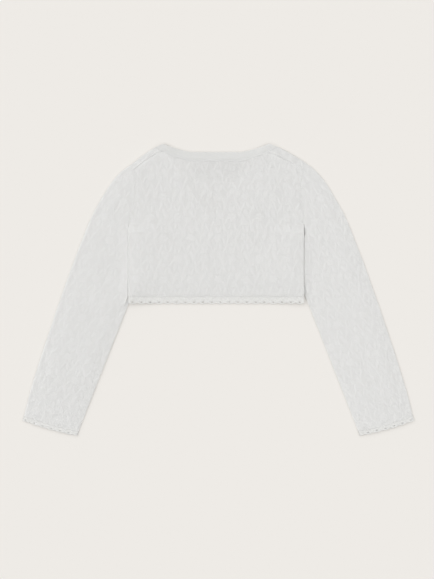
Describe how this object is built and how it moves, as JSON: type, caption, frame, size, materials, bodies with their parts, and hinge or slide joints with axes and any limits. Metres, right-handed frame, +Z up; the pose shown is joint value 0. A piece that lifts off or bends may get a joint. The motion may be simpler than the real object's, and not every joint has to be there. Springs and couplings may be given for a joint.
{
  "type": "child's cropped lace cardigan, laid flat",
  "caption": "Cropped white lace cardigan with long sleeves, V-shaped front and scalloped edges, laid flat face down with its back up.",
  "frame": {"origin": "on the surface that the garment lies on, under the middle of its outline", "axes": "+X across the garment from the left cuff to the right one, as seen from the back; +Y from the hem to the neck; +Z up, out of the back of the garment"},
  "size_m": [0.588, 0.4382, 0.0073],
  "materials": {
    "lace": "soft matt white stretch lace, fine raised figures on a close net",
    "binding": "soft matt white jersey binding, folded double and stitched",
    "edging": "matt white scalloped edging with a corded rim",
    "label": "smooth blank woven ribbon"
  },
  "bodies": {
    "root": {"back": "lace", "front_left": "lace", "front_right": "lace", "sleeve_left": "lace", "sleeve_right": "lace", "neck_binding": "binding", "front_band_left": "binding", "front_band_right": "binding", "hem_edging_back": "edging", "hem_edging_left": "edging", "hem_edging_right": "edging", "cuff_edging_left": "edging", "cuff_edging_right": "edging", "neck_label": "label"}
  },
  "joints": []
}
